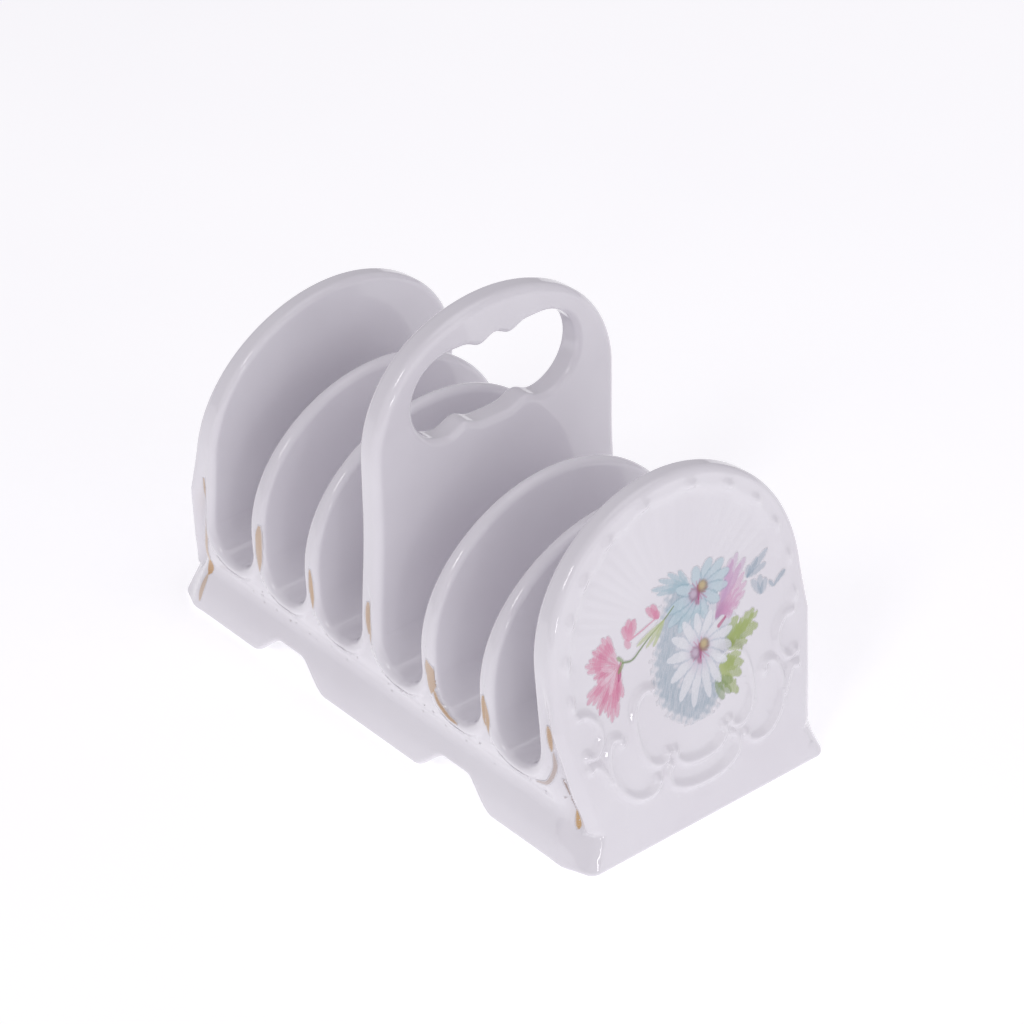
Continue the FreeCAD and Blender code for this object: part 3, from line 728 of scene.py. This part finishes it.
def paint_flowers():
    """The printed spray: two daisies, a carnation, buds, leaves and sprigs, in (y, z)."""
    canvas = Canvas((-33.5, 25.5), (36.5, 67.5), 0.2)
    shadow = ((1.0, 58.5), (-3.0, 51.0), (-5.5, 44.0), (-6.5, 38.0), (-3.5, 32.0), (1.5, 29.5), (6.0, 31.5))
    canvas.wash(shadow, 4.8, (160, 180, 194), 0.85)
    canvas.wash(((8.0, 56.0), (13.5, 50.0), (15.0, 44.0)), 3.6, (190, 196, 212), 0.45)
    fan(canvas, (4.5, 60.0), ((-7.2, 63.4), (-4.6, 65.0), (-1.6, 65.6), (1.8, 65.0), (-5.8, 61.6)), 1.7, SKY,
        strength=0.75)
    pink_bloom = ((19.5, 61.0), (21.8, 59.2), (22.6, 56.4), (22.9, 53.8), (22.0, 51.4), (19.9, 49.4),
                  (17.4, 47.8))
    fan(canvas, (11.5, 48.0), pink_bloom, 3.0, (216, 156, 196), strength=0.72, inner=(176, 136, 176),
        veins=0.5, ragged=0.4)
    fan(canvas, (14.0, 51.5), ((21.0, 62.3), (19.0, 61.6), (23.4, 60.0)), 2.6, LILAC, strength=0.6)
    blue_tips = ((12.4, 64.4), (16.4, 62.6), (17.9, 59.2), (16.8, 55.6), (13.6, 52.4), (8.6, 49.4),
                 (4.2, 48.4), (-0.6, 49.2), (-3.6, 52.0), (-3.4, 55.6), (0.4, 60.4), (7.2, 64.0))
    daisy(canvas, (7.3, 57.3), blue_tips, 3.0, PALE_SKY, (140, 176, 192), (196, 176, 205))
    canvas.wash(((-1.0, 55.0), (2.0, 52.0), (6.0, 51.0)), 2.4, SKY, 0.45)
    green_right = ((16.5, 41.8), (24.2, 45.8)), ((17.0, 40.8), (24.6, 41.6)), ((13.5, 41.0), (18.6, 46.2))
    for root, tip in green_right:
        canvas.petal(root, tip, 3.6, LEAF, 0.9, inner=LEAF_DARK, ragged=0.45)
    right_leaf = ((19.6, 44.2), (22.6, 43.6), (25.2, 44.8), (20.4, 38.8))
    fan(canvas, (13.0, 40.0), right_leaf, 2.8, LEAF, strength=0.85, ragged=0.45)
    lower_leaf = ((17.2, 37.4), (17.8, 34.6), (16.8, 31.8), (14.4, 27.4), (15.6, 36.4))
    fan(canvas, (10.0, 35.5), lower_leaf, 3.8, LEAF, strength=0.88, inner=LEAF_PALE, ragged=0.4)
    fan(canvas, (8.4, 33.4), ((9.6, 27.6), (12.4, 28.4), (13.6, 31.0)), 2.6, LEAF_DARK, strength=0.75)
    white_tips = ((5.8, 52.0), (10.6, 51.0), (14.4, 48.0), (16.4, 44.2), (15.0, 40.6), (13.0, 36.6),
                  (9.8, 32.2), (5.6, 29.8), (0.0, 29.4), (-3.8, 32.4), (-5.4, 38.0), (-5.6, 43.6),
                  (-3.0, 48.6), (1.2, 51.4))
    daisy(canvas, (5.3, 42.4), white_tips, 3.1, PETAL_WHITE, PETAL_SHADE, (196, 168, 200))
    canvas.line(((12.2, 46.0), (14.6, 47.4)), 1.0, MAGENTA, 0.7)
    stem = ((-19.0, 48.9), (-16.0, 48.4), (-13.0, 50.0), (-9.6, 52.0), (-4.6, 54.4), (-1.0, 56.6))
    canvas.line(stem, 0.5, (128, 150, 104), 0.9)
    fan(canvas, (-4.4, 54.4), ((-14.0, 51.2), (-11.2, 49.6), (-9.0, 49.0)), 1.3, LEAF_PALE, strength=0.85)
    canvas.line(((-15.8, 53.6), (-11.4, 54.6), (-6.4, 56.0)), 0.4, PINK, 0.8)
    for tip in ((-17.4, 57.8), (-15.4, 59.0), (-13.6, 58.4)):
        canvas.petal((-15.8, 53.4), tip, 2.6, PINK, 0.85, inner=PALE_PINK)
    canvas.petal((-17.2, 54.4), (-16.2, 51.6), 2.0, PINK, 0.75)
    for tip in ((-9.6, 59.6), (-7.8, 59.8), (-6.8, 57.8)):
        canvas.petal((-6.2, 55.4), tip, 2.2, PINK, 0.85)
    carnation = ((-24.2, 57.6), (-27.6, 55.4), (-30.4, 52.6), (-28.4, 48.6), (-31.6, 43.0), (-28.6, 39.0),
                 (-25.2, 35.8), (-22.2, 40.0))
    for tip in carnation:
        ruffle(canvas, (-20.2, 48.8), tip, 3.4, PINK)
    fan(canvas, (-20.6, 48.6), carnation[1::2], 1.2, DEEP_PINK, strength=0.35, blunt=1.0, veins=0.6)
    highlights = ((-25.6, 50.0), (-26.6, 46.0), (-24.4, 42.6))
    fan(canvas, (-21.5, 47.6), highlights, 1.6, (240, 214, 226), strength=0.7, blunt=0.9, veins=0.5)
    canvas.petal((-19.4, 49.6), (-21.0, 44.6), 1.2, MAGENTA, 0.8)
    fan(canvas, (-18.6, 49.0), ((-20.6, 51.0), (-20.8, 46.6)), 1.1, LEAF_DARK, strength=0.85)
    for tip in ((24.4, 57.6), (27.4, 58.6), (30.8, 59.6), (29.8, 56.0)):
        canvas.petal((23.0, 54.6), tip, 1.9, SLATE, 0.6)
    fan(canvas, (27.0, 48.6), ((24.6, 53.4), (27.4, 53.6), (29.2, 52.2)), 2.2, SLATE, strength=0.55)
    fan(canvas, (31.4, 49.0), ((35.2, 52.4), (30.0, 51.0)), 1.2, SLATE, strength=0.75)
    canvas.line(((5.2, 20.0), (6.0, 21.0), (6.9, 20.2)), 0.5, PINK, 0.7)
    return canvas


def lay_canvas(name, canvas, to_points, material, thickness, direction):
    """Turns the painted part of a canvas into a thin closed skin on the porcelain."""
    rows, columns = canvas.u.shape
    painted = canvas.cover > 0.07
    cell = painted[:-1, :-1] | painted[1:, :-1] | painted[:-1, 1:] | painted[1:, 1:]
    index = np.arange(rows * columns).reshape(rows, columns)
    corners = (index[:-1, :-1], index[1:, :-1], index[1:, 1:], index[:-1, 1:])
    quads = np.stack([c[cell] for c in corners], axis=1)
    used, quads = np.unique(quads, return_inverse=True)
    quads = quads.reshape(-1, 4)
    points = snap(to_points(canvas.u.ravel()[used], canvas.v.ravel()[used]), 4, direction)
    normals = unit(slope_of(points)[1])
    front = points + normals * thickness
    back = points - normals * thickness
    first_side = front[quads[:, 1]] - front[quads[:, 0]]
    last_side = front[quads[:, 3]] - front[quads[:, 0]]
    if (np.cross(first_side, last_side) * normals[quads[:, 0]]).sum() < 0:
        quads = quads[:, ::-1]
    count = len(used)
    outline = outline_edges(quads)
    walls = [(b, a, a + count, b + count) for a, b in outline]
    faces = quads.tolist() + [[i + count for i in q[::-1]] for q in quads.tolist()] + walls
    mesh = bpy.data.meshes.new(name)
    mesh.from_pydata((np.vstack([front, back]) * MM).tolist(), [], faces)
    paint = mesh.color_attributes.new("paint", "FLOAT_COLOR", "POINT")
    colours = np.ones((2 * count, 4))
    colours[:, :3] = np.tile(canvas.colour.reshape(-1, 3)[used], (2, 1))
    paint.data.foreach_set("color", colours.ravel())
    mesh.shade_smooth()
    return add_piece(name, mesh, material)


def outline_edges(quads):
    """Directed edges that belong to one quad only."""
    directed = dict.fromkeys((a, b) for quad in quads.tolist() for a, b in zip(quad, quad[1:] + quad[:1]))
    return [(a, b) for a, b in directed if (b, a) not in directed]


GOLD = (196, 150, 84)
GOLD_PALE = (206, 172, 132)
RUST = (150, 112, 88)


def sliver(canvas, points, width, colour, strength=0.9):
    """A worn streak of gilding: widest in its middle, broken by fine scratches."""
    distance, along = distance_to_curve(canvas.u, canvas.v, curve_points(points, 6))
    half = width / 2 * np.sin(math.pi * np.clip(along, 0.02, 0.98)) ** 0.4
    scratch = 0.82 + 0.18 * np.sin(canvas.v * 9.0 + 3.0 * np.sin(canvas.u * 5.0))
    canvas.lay(strength * scratch * smoothstep(0.16, -0.1, distance - half), colour)


def paint_gilding():
    """What is left of the gilding along the near side, in (x, z)."""
    canvas = Canvas((-76.0, 1.5), (85.5, 46.0), 0.2)
    sliver(canvas, ((-69.3, 43.7), (-70.1, 30.0), (-70.7, 16.4)), 1.8, GOLD_PALE)
    sliver(canvas, ((-70.5, 16.8), (-70.9, 14.4), (-71.3, 12.4)), 2.4, (200, 146, 60), 1.0)
    sliver(canvas, ((-71.6, 12.0), (-72.4, 8.0), (-73.0, 4.0)), 1.4, GOLD_PALE, 0.8)
    sliver(canvas, ((-45.0, 40.5), (-45.6, 33.0), (-45.8, 26.0)), 2.1, GOLD_PALE)
    sliver(canvas, ((-23.0, 38.0), (-23.1, 32.0), (-22.9, 26.0)), 1.7, GOLD)
    sliver(canvas, ((-0.3, 39.0), (0.3, 33.0), (0.9, 27.5)), 2.2, GOLD_PALE)
    sliver(canvas, ((24.4, 34.6), (25.2, 30.5), (25.8, 26.0)), 2.8, GOLD_PALE)
    lip = SLOT_HALF + 1.1
    gold_line = [
        (SLOT_CENTRES[1] - lip * math.sin(math.radians(a)), RIB_TOP - lip * math.cos(math.radians(a)))
        for a in (66.0, 45.0, 20.0, 0.0)
    ]
    sliver(canvas, gold_line, 0.8, GOLD, 0.9)
    sliver(canvas, ((46.4, 35.5), (47.0, 30.0), (47.6, 24.5)), 2.3, GOLD)
    sliver(canvas, ((69.4, 38.5), (69.9, 35.0), (70.4, 31.6)), 0.9, GOLD)
    sliver(canvas, ((70.8, 31.0), (71.4, 26.5), (69.6, 22.0), (65.0, 19.6)), 1.0, (176, 146, 126), 0.7)
    sliver(canvas, ((73.4, 24.0), (75.2, 19.5), (76.4, 15.0)), 0.7, RUST)
    sliver(canvas, ((76.3, 15.6), (76.9, 13.2), (77.2, 10.8)), 1.6, (206, 158, 74), 1.0)
    for side in (-1, 1):
        for slot in SLOT_CENTRES:
            reach = SLOT_HALF + BEAD_WIDTH + 0.4
            arc = [
                (side * slot + reach * math.sin(math.radians(a)), RIB_TOP - reach * math.cos(math.radians(a)))
                for a in (-28.0 - slot / 6, -10.0, 16.0)
            ]
            sliver(canvas, arc, 0.8, (160, 134, 122), 0.6)
    for _ in range(40):
        u, v = canvas.random.uniform(-66.0, 76.0), canvas.random.uniform(13.0, 19.0)
        canvas.blob((u, v), canvas.random.uniform(0.08, 0.16), RUST, 0.6, 0.1)
    on_plate = comb(np.abs(canvas.u), canvas.v) < -0.5
    on_side = np.abs(canvas.u) < face_x(canvas.v) - 1.2
    canvas.cover = canvas.cover * (on_plate & on_side)
    return canvas


# ---------------------------------------------------------------- building it

glaze = make_glaze()
printed = make_print("printed_flowers", 0.16)
gilt = make_print("worn_gilding", 0.28)

MARGIN = 2.0
VOXEL = 0.5
FINE_VOXEL = 0.42
CUT_OVERLAP = 1.5


def plate_region(node, panel):
    """The box of space round one plate, from just under the cut to just above its crown."""
    low, high = box_mm(node)
    return (
        (low[0] - MARGIN, -HALF_WIDTH - MARGIN, RIB_TOP - CUT_OVERLAP),
        (high[0] + MARGIN, HALF_WIDTH + MARGIN, panel.height + MARGIN),
    )


PLATES = {
    "back_end_panel": (END, FINE_VOXEL),
    "divider_1": (OUTER_DIVIDER, VOXEL),
    "divider_2": (INNER_DIVIDER, VOXEL),
    "handle_panel": (HANDLE, VOXEL),
    "divider_3": (INNER_DIVIDER, VOXEL),
    "divider_4": (OUTER_DIVIDER, VOXEL),
    "front_end_panel": (END, FINE_VOXEL),
}
for node, (panel, voxel) in PLATES.items():
    low, high = plate_region(node, panel)
    name = f"{node}_glazed"
    plate = build_body_piece(name, low, high, voxel, adaptivity=0.0, keep_above=True, material=glaze)
    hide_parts(node)

base = build_body_piece(
    "base_glazed",
    (-FOOT_X - MARGIN, -HALF_WIDTH - MARGIN, -MARGIN),
    (FOOT_X + MARGIN, HALF_WIDTH + MARGIN, RIB_TOP + CUT_OVERLAP),
    VOXEL, adaptivity=0.03, keep_above=False, material=glaze,
)
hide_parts("base")


def on_front_face(u, v):
    return np.stack([face_x(v), u, v], axis=1)


def on_near_side(u, v):
    return np.stack([u, -base_side(v), v], axis=1)


PRINT_THICKNESS = 0.03
GILDING_THICKNESS = 0.09
FORWARDS = np.array((1.0, 0.0, 0.0))
TO_NEAR_SIDE = np.array((0.0, -1.0, 0.0))
lay_canvas("floral_print", paint_flowers(), on_front_face, printed, PRINT_THICKNESS, FORWARDS)
lay_canvas("gilding_traces", paint_gilding(), on_near_side, gilt, GILDING_THICKNESS, TO_NEAR_SIDE)

# ---------------------------------------------------------------- floor, lights and camera


def build_floor():
    mesh = bpy.data.meshes.new("studio_floor")
    reach = 3.0
    corners = [(-reach, -reach, 0), (reach, -reach, 0), (reach, reach, 0), (-reach, reach, 0)]
    mesh.from_pydata(corners, [], [(0, 1, 2, 3)])
    floor = bpy.data.objects.new("studio_floor", mesh)
    bpy.context.scene.collection.objects.link(floor)
    mesh.materials.append(make_floor_paper())


def add_softbox(name, place, target, size, power, colour):
    light = bpy.data.lights.new(name, "AREA")
    light.shape = "RECTANGLE"
    light.size, light.size_y = size
    light.energy = power
    light.color = colour
    lamp = bpy.data.objects.new(name, light)
    lamp.location = place
    lamp.rotation_euler = (Vector(target) - Vector(place)).to_track_quat("-Z", "Y").to_euler()
    bpy.context.scene.collection.objects.link(lamp)


def build_world():
    world = bpy.data.worlds.new("studio_world")
    world.use_nodes = True
    background = world.node_tree.nodes["Background"]
    background.inputs["Color"].default_value = (0.95, 0.92, 0.98, 1.0)
    background.inputs["Strength"].default_value = 0.445
    bpy.context.scene.world = world


def build_camera():
    """The photograph's view: a long lens, down over the corner of the front end and near side."""
    azimuth = math.radians(50.36)
    elevation = math.radians(32.74)
    roll = math.radians(-0.98)
    distance = 0.98978
    aim = Vector((-0.002, 0.0013, 0.045))
    back = Vector((
        math.sin(azimuth) * math.cos(elevation),
        -math.cos(azimuth) * math.cos(elevation),
        math.sin(elevation),
    ))
    level = Vector((math.cos(azimuth), math.sin(azimuth), 0.0))
    upright = back.cross(level)
    right = math.cos(roll) * level + math.sin(roll) * upright
    up = -math.sin(roll) * level + math.cos(roll) * upright
    shift_right = 0.00568
    shift_up = 0.00239
    place = aim + back * distance + right * shift_right + up * shift_up
    data = bpy.data.cameras.new("studio_camera")
    data.sensor_width = 36.0
    data.lens = 134.8
    data.clip_start = 0.01
    camera = bpy.data.objects.new("studio_camera", data)
    camera.matrix_world = Matrix.Translation(place) @ Matrix((right, up, back)).transposed().to_4x4()
    bpy.context.scene.collection.objects.link(camera)
    bpy.context.scene.camera = camera


build_floor()
build_world()
add_softbox("overhead_softbox", (0.14, 0.18, 1.2), (0, 0, 0.04), (0.8, 0.8), 1.55, (0.98, 0.96, 1.0))
add_softbox("key_light", (0.38, -0.84, 0.84), (0, 0, 0.05), (0.22, 0.30), 1.35, (1.0, 0.98, 0.98))
add_softbox("end_softbox", (1.05, 0.05, 0.45), (0, 0, 0.05), (0.8, 0.6), 0.95, (1.0, 0.98, 0.99))
add_softbox("glint_light", (1.1, -0.45, 0.16), (0, 0, 0.05), (0.12, 0.12), 0.35, (1.0, 0.99, 1.0))
build_camera()
bpy.context.scene.view_settings.view_transform = "Standard"
